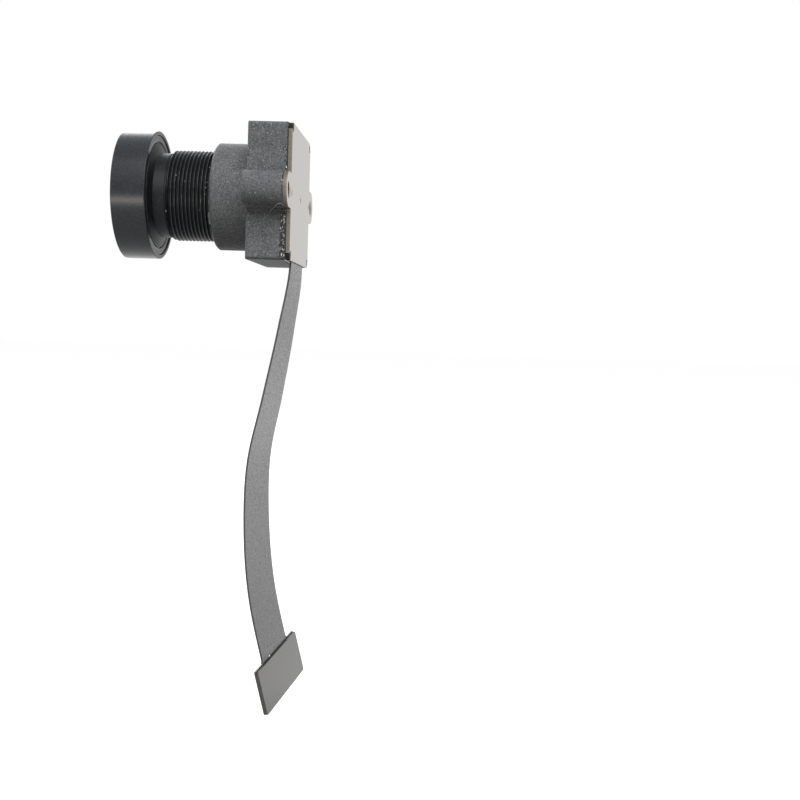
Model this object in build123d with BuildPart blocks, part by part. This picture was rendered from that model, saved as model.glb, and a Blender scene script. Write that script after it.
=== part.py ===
from build123d import *
import math
import os

# Small board camera: a wide lens in a screwed barrel, a moulded holder with two screw ears, an image
# sensor on the head of a flexible circuit, a steel back plate, and a tail that ends in a contact tongue.
#
# Sizes are millimetres and angles are degrees. Z is up, and the lens looks along -Y. The origin lies on
# the lens axis, on the outer face of the back plate. Every value that ends in _at is a distance ahead of
# that face.

# Outline shared by the holder, the circuit's head and the back plate
head_width = 18.4
head_height = 17.5
head_corner_radius = 0.45
outline_step = 0.05

# Screw ears
ear_spacing = 22.0
ear_radius = 2.25
ear_fillet = 0.35
ear_hole_diameter = 2.2
ear_hole_bevel = 0.15

# Layers behind the holder
plate_thickness = 0.25
circuit_thickness = 0.25
seam_thickness = 0.15

# Small holes in a row across the back plate
gauge_hole_diameter = 0.85
gauge_hole_reach = 2.46
gauge_hole_bevel = 0.18

# Corner posts of the holder, which pass through the circuit and the plate
post_radius = 0.45
post_inset = 0.66
post_clearance = 0.15
post_setback = 0.03

# Holder
base_depth = 5.05
boss_wall = 1.06
boss_length = 5.3
boss_outer_chamfer = 0.3
chamber_wall = 1.2
chamber_depth = 2.8
chamber_corner_radius = 0.8
window_size = 7.0
window_corner_radius = 0.8
partition_thickness = 0.65

# Screwed lens barrel
thread_radius = 6.0
thread_clearance = 0.04
thread_exposed = 5.8
focus_gap = 0.4
neck_step = 0.4
neck_length = 1.5
relief_depth = 0.15
relief_length = 0.4
cone_length = 0.45
cone_land = 1.0
head_floor = 0.75
head_wall = 0.92
barrel_wall = 0.75
rear_lip_width = 1.1
rear_lip_length = 2.0

# Front ring, screwed over the barrel's head
ring_wall = 0.52
ring_clearance = 0.03
ring_overhang = 0.15
ring_length = 4.5
ring_chamfer = 0.3
ring_rim_width = 0.9
ring_lip_overlap = 0.45
ring_lip_land = 0.7
ring_take_up = 0.1

# Glass: length of each ground edge, and how far each curved face rises or sinks from its flat rim,
# where a face that has no value is flat
edge_clearance = 0.03
rim_width = 1.15
rim_margin = 0.1
front_edge_radius = 7.0
front_edge_length = 1.6
front_rise = 1.4
front_hollow = 1.6
second_edge_length = 2.4
second_rise = 0.25
second_hollow = 1.3
third_edge_length = 2.6
third_rise = 0.45
third_rear_rise = 0.3
crown_edge_length = 1.3
cement_rim_width = 0.5
cement_rise = 0.7
cement_gap = 0.02
flint_edge_length = 2.2
flint_hollow = 0.3
rear_edge_length = 2.3
rear_rise = 0.3

# Aperture stop, and the slotted ring that locks the stack
stop_length = 0.9
stop_web = 0.15
stop_opening_radius = 1.1
retainer_length = 0.8
retainer_wall = 0.8
retainer_slot_width = 0.7
retainer_slot_depth = 0.4

# Infrared filter in a recess of the holder's partition
filter_size = 8.4
filter_thickness = 0.3
filter_clearance = 0.1
filter_sink = 0.05

# Image sensor and the small parts round it
solder_gap = 0.02
sensor_width = 8.0
sensor_height = 6.6
sensor_thickness = 0.6
cover_glass_margin = 0.5
cover_glass_thickness = 0.4
regulator_size = 1.6
regulator_spacing = 4.0
regulator_thickness = 0.6
memory_width = 2.0
memory_height = 3.0
memory_thickness = 0.55
chip_length = 1.0
chip_width = 0.5
chip_pitch = 1.1
capacitor_count = 10
capacitor_thickness = 0.5
resistor_count = 8
resistor_thickness = 0.35

# Dabs of adhesive that lock the barrel in the holder's mouth, by angle from +X towards +Z
dab_angles = (48, 181, 306)
dab_length = 1.6
dab_width = 0.5
dab_rise = 0.35

# Tail: points of its centre line below the head's edge, each as drop, sideways and forward
tail_width = 10.7
tail_route = (
    (8.75, 0.25, 1.075),
    (17.65, 0.40, 2.625),
    (26.45, 0.40, 4.275),
    (35.25, 0.30, 4.375),
    (44.05, 0.05, 3.525),
    (52.05, -0.25, 1.755),
)
tail_turn = 9.2
tail_end_lean = 2.6
tail_end_pitch = 14.1
tail_sections = 10

# Contact tongue at the tail's end
tongue_side_margin = 0.3
tongue_neck = 0.7
tongue_flare = 0.6
tongue_corner_radius = 0.35
stiffener_height = 5.8
stiffener_setback = 0.15
stiffener_thickness = 0.3
contact_count = 34
contact_pitch = 0.5
contact_width = 0.34
contact_length = 3.8
contact_thickness = 0.04
contact_setback = 0.25

# Stations of the layers and the holder
circuit_at = plate_thickness
seam_at = circuit_at + circuit_thickness
part_at = seam_at + solder_gap
base_at = seam_at + seam_thickness
base_front_at = base_at + base_depth
mouth_at = base_front_at + boss_length
chamber_front_at = base_at + chamber_depth
partition_at = chamber_front_at + filter_thickness + filter_sink
bore_floor_at = partition_at + partition_thickness

# Stations of the barrel
barrel_rear_at = bore_floor_at + focus_gap
thread_end_at = mouth_at + thread_exposed
relief_end_at = thread_end_at + relief_length
neck_end_at = relief_end_at + neck_length
head_rear_at = neck_end_at + cone_length

# Stations of the lens stack, whose flat rims seat on one another from the rear lip forward
rear_element_at = barrel_rear_at + rear_lip_length
flint_at = rear_element_at + rear_edge_length
crown_at = flint_at + flint_edge_length
stop_at = crown_at + crown_edge_length
third_element_at = stop_at + stop_length
second_element_at = third_element_at + third_edge_length
retainer_at = second_element_at + second_edge_length
front_seat_at = max(retainer_at + retainer_length, head_rear_at + head_floor)
lip_at = front_seat_at + front_edge_length

# Stations of the front ring
ring_rear_at = head_rear_at - ring_overhang
ring_front_at = ring_rear_at + ring_length

# Radii, worked outward from the thread and from the front glass
boss_bore_radius = thread_radius + thread_clearance
boss_radius = boss_bore_radius + boss_wall
neck_radius = thread_radius - neck_step
relief_radius = neck_radius - relief_depth
bore_radius = relief_radius - barrel_wall
rear_opening_radius = bore_radius - rear_lip_width
seat_radius = front_edge_radius + edge_clearance
barrel_head_radius = seat_radius + head_wall
cone_radius = barrel_head_radius - cone_land
ring_bore_radius = barrel_head_radius + ring_clearance
ring_radius = ring_bore_radius + ring_wall
ring_lip_radius = front_edge_radius - ring_lip_overlap
stack_radius = bore_radius - edge_clearance
clear_radius = stack_radius - rim_width
cement_radius = stack_radius - cement_rim_width
retainer_opening_radius = stack_radius - retainer_wall

# Tongue's width, and the middle of the space between the sensor and each wall of its chamber
tongue_width = contact_count * contact_pitch + 2 * tongue_side_margin
part_column = (sensor_width / 2 + head_width / 2 - chamber_wall) / 2
part_row = (sensor_height / 2 + head_height / 2 - chamber_wall) / 2

# Axial profiles are drawn with the radius across and the distance ahead upward
axial_plane = Plane(origin=(0, 0, 0), x_dir=(1, 0, 0), z_dir=(0, 0, -1))
corner_signs = [(side, level) for side in (-1, 1) for level in (-1, 1)]

# Corners and holes are picked out by their place or size within this
match_tolerance = 0.001


def facing(at):
    """Plane across the lens axis, at a distance ahead of the back plate's outer face."""
    return Plane.XZ.offset(at)


def corner_place(side, level, inset):
    """Point of a head corner, inset from both of its sides, or beyond them where inset is negative."""
    return (side * (head_width / 2 - inset), level * (head_height / 2 - inset))


def eared_outline(at, inset=0.0, notched=False):
    """Head outline with both ears and their holes; the notches open its corners round the posts."""
    with BuildSketch(facing(at)) as outline:
        RectangleRounded(head_width - 2 * inset, head_height - 2 * inset, head_corner_radius)
        SlotCenterToCenter(ear_spacing, 2 * (ear_radius - inset))
        roots = [
            vertex
            for vertex in outline.vertices()
            if abs(abs(vertex.X) - (head_width / 2 - inset)) < match_tolerance
            and abs(abs(vertex.Y) - (ear_radius - inset)) < match_tolerance
        ]
        fillet(roots, ear_fillet)
        with Locations((-ear_spacing / 2, 0), (ear_spacing / 2, 0)):
            Circle(ear_hole_diameter / 2, mode=Mode.SUBTRACT)
        if notched:
            for side, level in corner_signs:
                corner = corner_place(side, level, 0)
                beyond = corner_place(side, level, -post_inset)
                SlotCenterPoint(corner, beyond, 2 * (post_radius + post_clearance), mode=Mode.SUBTRACT)
    return outline.sketch


def chamber_outline(at):
    """Rounded opening round the sensor, inside the holder's walls."""
    with BuildSketch(facing(at)) as opening:
        RectangleRounded(
            head_width - 2 * chamber_wall, head_height - 2 * chamber_wall, chamber_corner_radius
        )
    return opening.sketch


def ring_outline(at, outer_radius, inner_radius):
    """Flat ring about the lens axis."""
    with BuildSketch(facing(at)) as ring:
        Circle(outer_radius)
        Circle(inner_radius, mode=Mode.SUBTRACT)
    return ring.sketch


def dome(at, radius, rise):
    """Solid between a curved lens face and the flat rim at its foot.

    A positive rise stands ahead of the rim, and a negative one behind it.
    """
    ball_radius = (radius**2 + rise**2) / (2 * abs(rise))
    ball_at = at + rise - math.copysign(ball_radius, rise)
    with BuildPart(mode=Mode.PRIVATE) as curved:
        with BuildSketch(facing(at)):
            Circle(ball_radius)
        extrude(amount=2 * rise)
        with Locations((0, -ball_at, 0)):
            Sphere(ball_radius, mode=Mode.INTERSECT)
    return curved.part


def disc(at, radius, length):
    """Plain round slab across the lens axis."""
    with BuildSketch(facing(at), mode=Mode.PRIVATE) as face:
        Circle(radius)
    return extrude(face.sketch, length, mode=Mode.PRIVATE)


# Lens holder: eared base, round boss, sensor chamber, filter recess, window and posts
with BuildPart() as lens_holder:
    extrude(eared_outline(base_at), base_depth)
    with BuildSketch(facing(base_front_at)):
        Circle(boss_radius)
    extrude(amount=boss_length)
    extrude(chamber_outline(base_at), chamber_depth, mode=Mode.SUBTRACT)
    with BuildSketch(facing(chamber_front_at)):
        Rectangle(filter_size + 2 * filter_clearance, filter_size + 2 * filter_clearance)
    extrude(amount=partition_at - chamber_front_at, mode=Mode.SUBTRACT)
    with BuildSketch(facing(partition_at)):
        RectangleRounded(window_size, window_size, window_corner_radius)
    extrude(amount=partition_thickness, mode=Mode.SUBTRACT)
    with BuildSketch(facing(bore_floor_at)):
        Circle(boss_bore_radius)
    extrude(amount=mouth_at - bore_floor_at, mode=Mode.SUBTRACT)
    mouth = lens_holder.faces().sort_by(Axis.Y)[0]
    chamfer(mouth.outer_wire().edges(), boss_outer_chamfer)
    with BuildSketch(facing(post_setback)):
        with Locations(*[corner_place(side, level, post_inset) for side, level in corner_signs]):
            Circle(post_radius)
    extrude(amount=base_at - post_setback)
lens_holder.part.label = "lens_holder"

# Bead of adhesive that bonds the holder to the circuit, all round the chamber
with BuildPart() as seam_glue:
    extrude(eared_outline(seam_at, outline_step, notched=True), seam_thickness)
    extrude(chamber_outline(seam_at), seam_thickness, mode=Mode.SUBTRACT)
seam_glue.part.label = "seam_glue"

# Stamped steel back plate, with bevelled screw holes and three small bevelled holes
with BuildPart() as back_plate:
    extrude(eared_outline(0, outline_step, notched=True), plate_thickness)
    gauge_offset = ear_spacing / 2 - gauge_hole_reach
    with BuildSketch(facing(0)):
        with Locations((-gauge_offset, 0), (0, 0), (gauge_offset, 0)):
            Circle(gauge_hole_diameter / 2)
    extrude(amount=plate_thickness, mode=Mode.SUBTRACT)
    for diameter, bevel in (
        (gauge_hole_diameter, gauge_hole_bevel),
        (ear_hole_diameter, ear_hole_bevel),
    ):
        rear_holes = back_plate.faces().sort_by(Axis.Y)[-1].inner_wires()
        rims = rear_holes.filter_by(lambda hole: abs(hole.length - math.pi * diameter) < match_tolerance)
        chamfer(rims.edges(), bevel)
back_plate.part.label = "back_plate"

# Tail's centre line, from the lower edge of the circuit's head to the tongue
film_middle_at = circuit_at + circuit_thickness / 2
tail_points = [(0, -film_middle_at, outline_step - head_height / 2)]
for drop, sideways, forward in tail_route:
    tail_points.append((sideways, -film_middle_at - forward, -head_height / 2 - drop))
end_lean = math.tan(math.radians(tail_end_lean))
end_pitch = math.tan(math.radians(tail_end_pitch))
with BuildLine() as tail_line:
    Spline(*tail_points, tangents=[(0, 0, -1), (-end_lean, end_pitch, -1)])


def tail_plane(share):
    """Plane across the tail at a share of its length, turned about the tail's own line."""
    turn = math.radians(tail_turn) * (1 - (1 - share) ** 2)
    across = (math.cos(turn), -math.sin(turn), 0)
    return Plane(origin=tail_line.line @ share, x_dir=across, z_dir=tail_line.line % share)


# The tongue's plane runs down the film, with its normal towards the rear
tail_end = tail_plane(1)
tongue_plane = Plane(origin=tail_end.origin, x_dir=tail_end.x_dir, z_dir=-tail_end.y_dir)
pad_height = stiffener_setback + stiffener_height

# Flexible circuit: eared head, turning tail and flared tongue, all one film
with BuildPart() as flex_circuit:
    extrude(eared_outline(circuit_at, outline_step, notched=True), circuit_thickness)
    for index in range(tail_sections + 1):
        with BuildSketch(tail_plane(index / tail_sections)):
            Rectangle(tail_width, circuit_thickness)
    loft()
    with BuildSketch(tongue_plane.offset(-circuit_thickness / 2)) as tongue:
        with Locations((0, tongue_neck + pad_height / 2)):
            RectangleRounded(tongue_width, pad_height, tongue_corner_radius)
        with Locations((0, tongue_neck)):
            Rectangle(tail_width, 2 * tongue_neck)
        roots = [
            vertex
            for vertex in tongue.vertices()
            if abs(abs(vertex.X) - tail_width / 2) < match_tolerance
            and abs(vertex.Y - tongue_neck) < match_tolerance
        ]
        fillet(roots, tongue_flare)
    extrude(amount=circuit_thickness)
flex_circuit.part.label = "flex_circuit"

# Stiffener bonded to the rear of the tongue
with BuildPart() as tongue_stiffener:
    with BuildSketch(tongue_plane.offset(circuit_thickness / 2)):
        with Locations((0, tongue_neck + stiffener_setback + stiffener_height / 2)):
            RectangleRounded(tongue_width, stiffener_height, tongue_corner_radius)
    extrude(amount=stiffener_thickness)
tongue_stiffener.part.label = "tongue_stiffener"

# Plated contact fingers on the front of the tongue
with BuildPart() as contact_fingers:
    with BuildSketch(tongue_plane.offset(-circuit_thickness / 2)):
        with Locations((0, tongue_neck + pad_height - contact_setback - contact_length / 2)):
            with GridLocations(contact_pitch, 0, contact_count, 1):
                Rectangle(contact_width, contact_length)
    extrude(amount=-contact_thickness)
contact_fingers.part.label = "contact_fingers"

# Image sensor and its cover glass
with BuildPart() as image_sensor:
    with BuildSketch(facing(part_at)):
        Rectangle(sensor_width, sensor_height)
    extrude(amount=sensor_thickness)
image_sensor.part.label = "image_sensor"

with BuildPart() as sensor_cover_glass:
    with BuildSketch(facing(part_at + sensor_thickness)):
        Rectangle(sensor_width - 2 * cover_glass_margin, sensor_height - 2 * cover_glass_margin)
    extrude(amount=cover_glass_thickness)
sensor_cover_glass.part.label = "sensor_cover_glass"

# Small parts beside, above and below the sensor
with BuildPart() as voltage_regulators:
    with BuildSketch(facing(part_at)):
        with Locations((-part_column, 0)):
            with GridLocations(0, regulator_spacing, 1, 2):
                Rectangle(regulator_size, regulator_size)
    extrude(amount=regulator_thickness)
voltage_regulators.part.label = "voltage_regulators"

with BuildPart() as memory_chip:
    with BuildSketch(facing(part_at)):
        with Locations((part_column, 0)):
            Rectangle(memory_width, memory_height)
    extrude(amount=memory_thickness)
memory_chip.part.label = "memory_chip"

with BuildPart() as decoupling_capacitors:
    with BuildSketch(facing(part_at)):
        with Locations((0, part_row)):
            with GridLocations(chip_pitch, 0, capacitor_count, 1):
                Rectangle(chip_width, chip_length)
    extrude(amount=capacitor_thickness)
decoupling_capacitors.part.label = "decoupling_capacitors"

with BuildPart() as resistors:
    with BuildSketch(facing(part_at)):
        with Locations((0, -part_row)):
            with GridLocations(chip_pitch, 0, resistor_count, 1):
                Rectangle(chip_width, chip_length)
    extrude(amount=resistor_thickness)
resistors.part.label = "resistors"

# Infrared filter, bonded against the partition
with BuildPart() as ir_cut_filter:
    with BuildSketch(facing(partition_at)):
        Rectangle(filter_size, filter_size)
    extrude(amount=-filter_thickness)
ir_cut_filter.part.label = "ir_cut_filter"

# Lens barrel: screwed tube, smooth neck, cone and wide head, bored in steps for the glass
with BuildPart() as lens_barrel:
    with BuildSketch(axial_plane):
        with BuildLine():
            Polyline(
                (rear_opening_radius, barrel_rear_at),
                (thread_radius, barrel_rear_at),
                (thread_radius, thread_end_at),
                (relief_radius, thread_end_at),
                (relief_radius, relief_end_at),
                (neck_radius, relief_end_at),
                (neck_radius, neck_end_at),
                (cone_radius, head_rear_at),
                (barrel_head_radius, head_rear_at),
                (barrel_head_radius, lip_at - ring_take_up),
                (seat_radius, lip_at - ring_take_up),
                (seat_radius, front_seat_at),
                (bore_radius, front_seat_at),
                (bore_radius, rear_element_at),
                (rear_opening_radius, rear_element_at),
                close=True,
            )
        make_face()
    revolve(axis=Axis.Y)
lens_barrel.part.label = "lens_barrel"

# Front ring: its lip clamps the front glass, and its mouth flares like a shallow shade
with BuildPart() as front_ring:
    with BuildSketch(axial_plane):
        with BuildLine():
            Polyline(
                (ring_bore_radius, ring_rear_at),
                (ring_radius, ring_rear_at),
                (ring_radius, ring_front_at - ring_chamfer),
                (ring_radius - ring_chamfer, ring_front_at),
                (ring_radius - ring_rim_width, ring_front_at),
                (ring_lip_radius, lip_at + ring_lip_land),
                (ring_lip_radius, lip_at),
                (ring_bore_radius, lip_at),
                close=True,
            )
        make_face()
    revolve(axis=Axis.Y)
front_ring.part.label = "front_ring"

# Glass, from the front to the rear: the flat rims seat on one another
with BuildPart() as front_element:
    add(disc(front_seat_at, front_edge_radius, front_edge_length))
    add(dome(lip_at, ring_lip_radius - rim_margin, front_rise))
    add(dome(front_seat_at, bore_radius - rim_margin, front_hollow), mode=Mode.SUBTRACT)
front_element.part.label = "front_element"

with BuildPart() as second_element:
    add(disc(second_element_at, stack_radius, second_edge_length))
    add(dome(retainer_at, retainer_opening_radius - rim_margin, second_rise))
    add(dome(second_element_at, clear_radius, second_hollow), mode=Mode.SUBTRACT)
second_element.part.label = "second_element"

with BuildPart() as third_element:
    add(disc(third_element_at, stack_radius, third_edge_length))
    add(dome(second_element_at, clear_radius, third_rise))
    add(dome(third_element_at, clear_radius, -third_rear_rise))
third_element.part.label = "third_element"

with BuildPart() as crown_element:
    add(disc(crown_at, stack_radius, crown_edge_length))
    add(dome(crown_at, cement_radius, -cement_rise))
crown_element.part.label = "crown_element"

with BuildPart() as flint_element:
    add(disc(flint_at, stack_radius, flint_edge_length))
    add(dome(crown_at, cement_radius, -cement_rise - cement_gap), mode=Mode.SUBTRACT)
    add(dome(flint_at, clear_radius, flint_hollow), mode=Mode.SUBTRACT)
flint_element.part.label = "flint_element"

with BuildPart() as rear_element:
    add(disc(rear_element_at, stack_radius, rear_edge_length))
    add(dome(rear_element_at, rear_opening_radius - rim_margin, -rear_rise))
rear_element.part.label = "rear_element"

# Aperture stop: a spacing ring with a thin web at its rear
with BuildPart() as aperture_stop:
    extrude(ring_outline(stop_at, stack_radius, clear_radius + rim_margin), stop_length)
    extrude(ring_outline(stop_at, stack_radius, stop_opening_radius), stop_web)
aperture_stop.part.label = "aperture_stop"

# Screwed ring that locks the stack, with two spanner slots
with BuildPart() as stack_retainer:
    extrude(ring_outline(retainer_at, stack_radius, retainer_opening_radius), retainer_length)
    with BuildSketch(facing(retainer_at + retainer_length)):
        Rectangle(2 * bore_radius, retainer_slot_width)
    extrude(amount=-retainer_slot_depth, mode=Mode.SUBTRACT)
stack_retainer.part.label = "stack_retainer"

# Dabs of adhesive in the corner between the boss's face and the thread
dab_inner_radius = thread_radius + thread_clearance / 2
dab_sweep = math.degrees(dab_length / thread_radius)
with BuildPart() as locking_dabs:
    for dab_angle in dab_angles:
        with BuildSketch(axial_plane.rotated((0, dab_angle - dab_sweep / 2, 0))):
            with BuildLine():
                Line((dab_inner_radius, mouth_at), (dab_inner_radius + dab_width, mouth_at))
                TangentArc(
                    (dab_inner_radius, mouth_at + dab_rise),
                    (dab_inner_radius + dab_width, mouth_at),
                    tangent=(1, 0),
                )
                Line((dab_inner_radius, mouth_at + dab_rise), (dab_inner_radius, mouth_at))
            make_face()
        revolve(axis=Axis.Y, revolution_arc=-dab_sweep)
locking_dabs.part.label = "locking_dabs"

# One file for each piece
os.makedirs("parts", exist_ok=True)
export_step(lens_holder.part, "parts/lens_holder.step")
export_step(seam_glue.part, "parts/seam_glue.step")
export_step(back_plate.part, "parts/back_plate.step")
export_step(flex_circuit.part, "parts/flex_circuit.step")
export_step(tongue_stiffener.part, "parts/tongue_stiffener.step")
export_step(contact_fingers.part, "parts/contact_fingers.step")
export_step(image_sensor.part, "parts/image_sensor.step")
export_step(sensor_cover_glass.part, "parts/sensor_cover_glass.step")
export_step(voltage_regulators.part, "parts/voltage_regulators.step")
export_step(memory_chip.part, "parts/memory_chip.step")
export_step(decoupling_capacitors.part, "parts/decoupling_capacitors.step")
export_step(resistors.part, "parts/resistors.step")
export_step(ir_cut_filter.part, "parts/ir_cut_filter.step")
export_step(lens_barrel.part, "parts/lens_barrel.step")
export_step(front_ring.part, "parts/front_ring.step")
export_step(front_element.part, "parts/front_element.step")
export_step(second_element.part, "parts/second_element.step")
export_step(third_element.part, "parts/third_element.step")
export_step(crown_element.part, "parts/crown_element.step")
export_step(flint_element.part, "parts/flint_element.step")
export_step(rear_element.part, "parts/rear_element.step")
export_step(aperture_stop.part, "parts/aperture_stop.step")
export_step(stack_retainer.part, "parts/stack_retainer.step")
export_step(locking_dabs.part, "parts/locking_dabs.step")
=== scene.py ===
import bpy
import math
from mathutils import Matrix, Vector
from mathutils.geometry import interpolate_bezier


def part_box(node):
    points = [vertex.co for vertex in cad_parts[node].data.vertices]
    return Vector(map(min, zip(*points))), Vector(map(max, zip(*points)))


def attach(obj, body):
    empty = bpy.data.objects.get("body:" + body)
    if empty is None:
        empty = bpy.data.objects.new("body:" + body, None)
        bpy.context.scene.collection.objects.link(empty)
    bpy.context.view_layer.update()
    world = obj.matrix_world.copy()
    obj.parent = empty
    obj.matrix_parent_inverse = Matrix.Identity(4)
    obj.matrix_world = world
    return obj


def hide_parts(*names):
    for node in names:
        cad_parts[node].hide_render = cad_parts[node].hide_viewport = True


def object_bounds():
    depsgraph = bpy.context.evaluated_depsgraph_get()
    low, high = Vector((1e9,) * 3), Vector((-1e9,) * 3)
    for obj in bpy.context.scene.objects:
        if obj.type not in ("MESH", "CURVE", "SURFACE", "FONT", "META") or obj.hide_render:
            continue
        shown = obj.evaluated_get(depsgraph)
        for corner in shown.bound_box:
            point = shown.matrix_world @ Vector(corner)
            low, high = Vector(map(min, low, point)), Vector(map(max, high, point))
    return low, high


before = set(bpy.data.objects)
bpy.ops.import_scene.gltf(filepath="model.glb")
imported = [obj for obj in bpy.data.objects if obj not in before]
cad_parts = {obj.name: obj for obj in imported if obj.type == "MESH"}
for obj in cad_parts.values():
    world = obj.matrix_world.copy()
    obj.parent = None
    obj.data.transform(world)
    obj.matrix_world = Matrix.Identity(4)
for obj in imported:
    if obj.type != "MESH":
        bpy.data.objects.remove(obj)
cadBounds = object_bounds()
mm = 0.001
weld = 1e-6  # metres within which vertices are merged
slack = 0.03  # millimetres allowed where faces are picked by their place

# Stations along the lens axis, in millimetres ahead of the back plate's outer face
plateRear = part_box("back_plate")[1].y
ahead = {
    "base": (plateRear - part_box("seam_glue")[0].y) / mm,
    "mouth": (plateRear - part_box("lens_holder")[0].y) / mm,
    "barrelRear": (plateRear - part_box("lens_barrel")[1].y) / mm,
    "barrelFront": (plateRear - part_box("lens_barrel")[0].y) / mm,
    "ringRear": (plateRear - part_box("front_ring")[1].y) / mm,
    "ringFront": (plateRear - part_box("front_ring")[0].y) / mm,
}


def spot(across, at, up):
    # millimetres across, ahead of the plate and upward, as a place in the scene
    return Vector((across * mm, plateRear - at * mm, up * mm))


def startFresh():
    if bpy.context.object and bpy.context.object.mode != "OBJECT":
        bpy.ops.object.mode_set(mode="OBJECT")
    bpy.ops.object.select_all(action="DESELECT")


def onlySelect(piece):
    startFresh()
    piece.select_set(True)
    bpy.context.view_layer.objects.active = piece


def applyModifiers(piece):
    onlySelect(piece)
    for modifier in list(piece.modifiers):
        bpy.ops.object.modifier_apply(modifier=modifier.name)


def bevelEdges(piece, width, segments=3, angle=30):
    modifier = piece.modifiers.new("edges", "BEVEL")
    modifier.width = width * mm
    modifier.segments = segments
    modifier.limit_method = "ANGLE"
    modifier.angle_limit = math.radians(angle)
    modifier.miter_outer = "MITER_ARC"
    applyModifiers(piece)


def smoothShade(piece, angle=35, weighted=True):
    onlySelect(piece)
    bpy.ops.object.shade_smooth_by_angle(angle=math.radians(angle))
    if weighted:  # wide flat faces keep their own direction beside the rounded edges
        modifier = piece.modifiers.new("weights", "WEIGHTED_NORMAL")
        modifier.keep_sharp = True
        applyModifiers(piece)


def roughen(piece, size, strength):
    # lumps of a given size and height in millimetres
    texture = bpy.data.textures.new(piece.name + "Lumps", "CLOUDS")
    texture.noise_scale = size * mm
    modifier = piece.modifiers.new("lumps", "DISPLACE")
    modifier.texture = texture
    modifier.texture_coords = "LOCAL"
    modifier.strength = strength * mm
    modifier.mid_level = 0.5
    applyModifiers(piece)


def joinInto(piece, *others):
    onlySelect(piece)
    for other in others:
        other.select_set(True)
    bpy.context.view_layer.objects.active = piece
    bpy.ops.object.join()
    return piece


def finishPiece(piece, material, slot, *nodes):
    piece.data.materials.clear()
    for entry in material if isinstance(material, list) else [material]:
        piece.data.materials.append(entry)
    if nodes:
        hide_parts(*nodes)
    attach(piece, "root")


def paintFaces(piece, index, test):
    for face in piece.data.polygons:
        if test(face):
            face.material_index = index


def drawLine(name, points, closed=False):
    startFresh()
    bpy.ops.mesh.primitive_plane_add(size=mm, location=(0, 0, 0))
    piece = bpy.context.object
    piece.name = piece.data.name = name
    bpy.ops.object.mode_set(mode="EDIT")
    bpy.ops.mesh.select_all(action="SELECT")
    bpy.ops.mesh.merge(type="CENTER")
    bpy.ops.transform.translate(value=points[0])
    for start, end in zip(points, points[1:]):
        bpy.ops.mesh.extrude_region_move(TRANSFORM_OT_translate={"value": end - start})
    bpy.ops.mesh.select_all(action="SELECT")
    bpy.ops.mesh.remove_doubles(threshold=weld)
    if closed:
        bpy.ops.mesh.delete(type="ONLY_FACE")
    return piece


def drawTube(name, points, radius, closed=False, sides=3):
    # a line given a round section
    piece = drawLine(name, points + points[:1] if closed else points)
    bpy.ops.object.mode_set(mode="OBJECT")
    bpy.ops.object.convert(target="CURVE")
    piece = bpy.context.object
    piece.data.bevel_depth = radius * mm
    piece.data.bevel_resolution = sides
    piece.data.use_fill_caps = True
    bpy.ops.object.convert(target="MESH")
    piece = bpy.context.object
    onlySelect(piece)
    bpy.ops.object.mode_set(mode="EDIT")
    bpy.ops.mesh.select_all(action="SELECT")
    bpy.ops.mesh.remove_doubles(threshold=weld)
    bpy.ops.mesh.normals_make_consistent(inside=False)
    bpy.ops.object.mode_set(mode="OBJECT")
    return piece


def turnedPiece(name, profile, steps=192):
    # profile holds (radius, station) pairs in millimetres
    piece = drawLine(name, [spot(radius, at, 0) for radius, at in profile])
    bpy.ops.mesh.spin(steps=steps, angle=2 * math.pi, center=(0, 0, 0), axis=(0, 1, 0))
    bpy.ops.mesh.select_all(action="SELECT")
    bpy.ops.mesh.remove_doubles(threshold=2 * weld)
    bpy.ops.mesh.normals_make_consistent(inside=False)
    bpy.ops.object.mode_set(mode="OBJECT")
    return piece


def curvedFace(radius, rim, rise, count=14):
    # points of a spherical face from its middle to its rim
    if rise == 0:
        return [(0, rim), (radius, rim)]
    ball = (radius ** 2 + rise ** 2) / (2 * abs(rise))
    side = math.copysign(1, rise)
    points = []
    for index in range(count + 1):
        across = radius * index / count
        height = math.sqrt(ball ** 2 - across ** 2) - (ball - abs(rise))
        points.append((across, rim + side * height))
    return points


def mergedCopy(node, name, flat=0.6):
    # a solid's mesh as one surface, without the edges across its flat faces
    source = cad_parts[node]
    piece = bpy.data.objects.new(name, source.data.copy())
    piece.data.name = name
    bpy.context.scene.collection.objects.link(piece)
    onlySelect(piece)
    bpy.ops.object.mode_set(mode="EDIT")
    bpy.ops.mesh.select_all(action="SELECT")
    bpy.ops.mesh.remove_doubles(threshold=weld)
    bpy.ops.mesh.dissolve_limited(angle_limit=math.radians(flat))
    bpy.ops.object.mode_set(mode="OBJECT")
    return piece


def keepSide(piece, place, away):
    # cuts the piece by a plane, keeps what lies against the plane's normal and closes the cut
    onlySelect(piece)
    bpy.ops.object.mode_set(mode="EDIT")
    bpy.ops.mesh.select_all(action="SELECT")
    bpy.ops.mesh.bisect(plane_co=place, plane_no=away, clear_outer=True, use_fill=True)
    bpy.ops.object.mode_set(mode="OBJECT")
    return piece


# Materials: a base finish, with a short chain of nodes for its grain

def newMaterial(name, **finish):
    material = bpy.data.materials.new(name)
    material.use_nodes = True
    shader = material.node_tree.nodes["Principled BSDF"]
    for socket, value in finish.items():
        shader.inputs[socket.replace("_", " ")].default_value = value
    return material, material.node_tree.nodes, material.node_tree.links, shader


def objectPlace(nodes, links, scale=(1, 1, 1)):
    coordinates = nodes.new("ShaderNodeTexCoord")
    mapping = nodes.new("ShaderNodeMapping")
    mapping.inputs["Scale"].default_value = scale
    links.new(coordinates.outputs["Object"], mapping.inputs["Vector"])
    return mapping.outputs["Vector"]


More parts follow.
